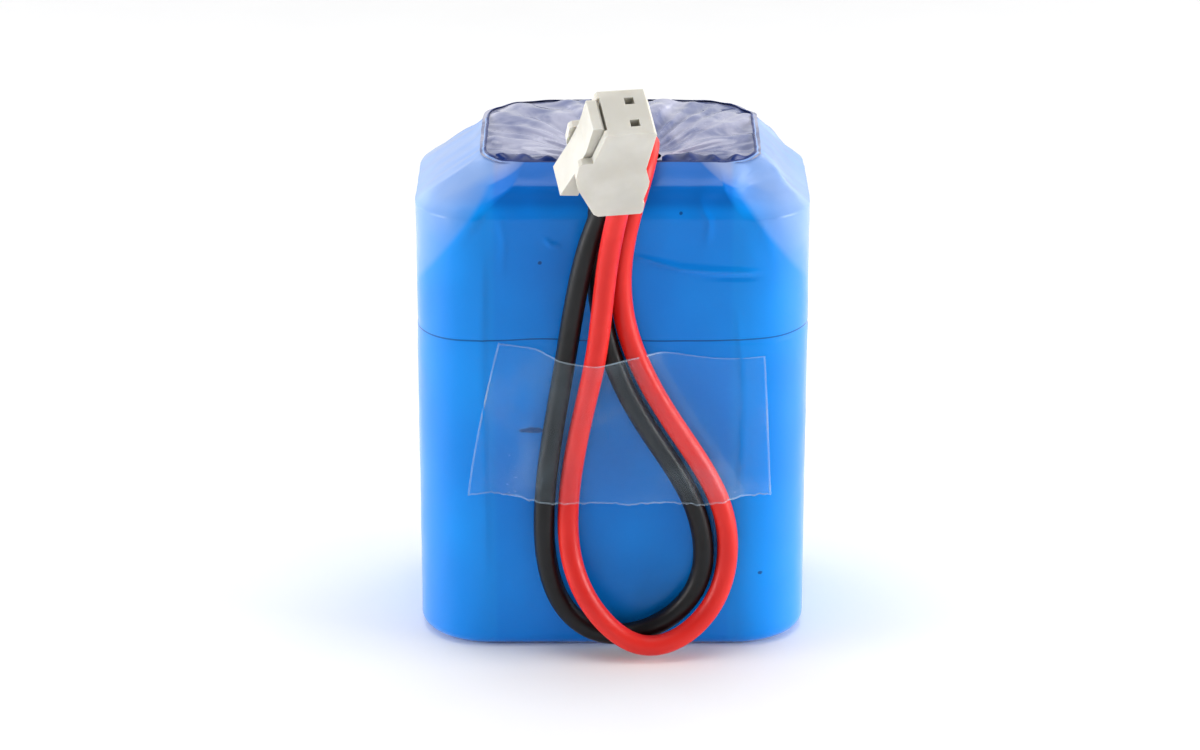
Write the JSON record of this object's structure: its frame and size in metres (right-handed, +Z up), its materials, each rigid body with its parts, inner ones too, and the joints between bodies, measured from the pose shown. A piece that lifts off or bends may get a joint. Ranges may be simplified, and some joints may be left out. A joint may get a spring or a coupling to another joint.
{
  "type": "battery pack",
  "caption": "Block of upright cylindrical cells in a shrunk film sleeve, with a protection board on top and a two-wire lead that ends in a latching plug.",
  "frame": {"origin": "middle of the base, on the surface that the pack stands on", "axes": "+Z up along the cells, +X to the right, the lead and the plug on the front, -Y"},
  "size_m": [0.0562, 0.0597, 0.0883],
  "materials": {
    "can_steel": "drawn, nickel plated",
    "electrode_foil": "wound foil",
    "gasket_plastic": "moulded",
    "cell_film": "shrunk film",
    "insulating_paper": "calendered paper",
    "nickel": "rolled strip",
    "red_insulation": "extruded PVC",
    "yellow_insulation": "extruded PVC",
    "black_insulation": "extruded PVC",
    "glue": "set glue",
    "circuit_board": "solder mask",
    "chip_plastic": "moulded epoxy",
    "chip_ceramic": "sintered",
    "solder": "bright",
    "foam": "closed-cell foam",
    "grey_film": "creased film",
    "blue_film": "shrunk PVC",
    "nylon": "moulded nylon",
    "tinned_brass": "stamped",
    "clear_tape": "clear film"
  },
  "bodies": {
    "pack": {"cell_can_1": "can_steel", "electrode_roll_1": "electrode_foil", "cell_gasket_1": "gasket_plastic", "positive_cap_1": "can_steel", "cell_wrap_1": "cell_film", "cell_can_2": "can_steel", "electrode_roll_2": "electrode_foil", "cell_gasket_2": "gasket_plastic", "positive_cap_2": "can_steel", "cell_wrap_2": "cell_film", "cell_can_3": "can_steel", "electrode_roll_3": "electrode_foil", "cell_gasket_3": "gasket_plastic", "positive_cap_3": "can_steel", "cell_wrap_3": "cell_film", "cell_can_4": "can_steel", "electrode_roll_4": "electrode_foil", "cell_gasket_4": "gasket_plastic", "positive_cap_4": "can_steel", "cell_wrap_4": "cell_film", "cell_can_5": "can_steel", "electrode_roll_5": "electrode_foil", "cell_gasket_5": "gasket_plastic", "positive_cap_5": "can_steel", "cell_wrap_5": "cell_film", "cell_can_6": "can_steel", "electrode_roll_6": "electrode_foil", "cell_gasket_6": "gasket_plastic", "positive_cap_6": "can_steel", "cell_wrap_6": "cell_film", "paper_rings": "insulating_paper", "negative_strip": "nickel", "link_strip_bottom": "nickel", "link_strip_top": "nickel", "positive_strip": "nickel", "positive_riser": "red_insulation", "tap_riser": "yellow_insulation", "glue_beads": "glue", "bottom_insulator": "insulating_paper", "top_insulator": "insulating_paper", "paper_wrap": "insulating_paper", "protection_board": "circuit_board", "mosfets": "chip_plastic", "protection_chip": "chip_plastic", "chip_parts": "chip_ceramic", "solder_joints": "solder", "foam_pad": "foam", "top_film": "grey_film", "heat_shrink_sleeve": "blue_film", "red_wire": "red_insulation", "black_wire": "black_insulation", "connector_housing": "nylon", "crimp_contacts": "tinned_brass", "clear_tape": "clear_tape"},
    "latch": {"connector_latch": "nylon"}
  },
  "joints": [
    {"name": "latch_lever", "type": "hinge", "parent": "pack", "child": "latch", "pos_m": [-0.00457, -0.03406, 0.07983], "axis": [0.1908, -0.8263, -0.5299], "range_deg": [0, 12], "stiffness_Nm_per_rad": 0.25}
  ]
}
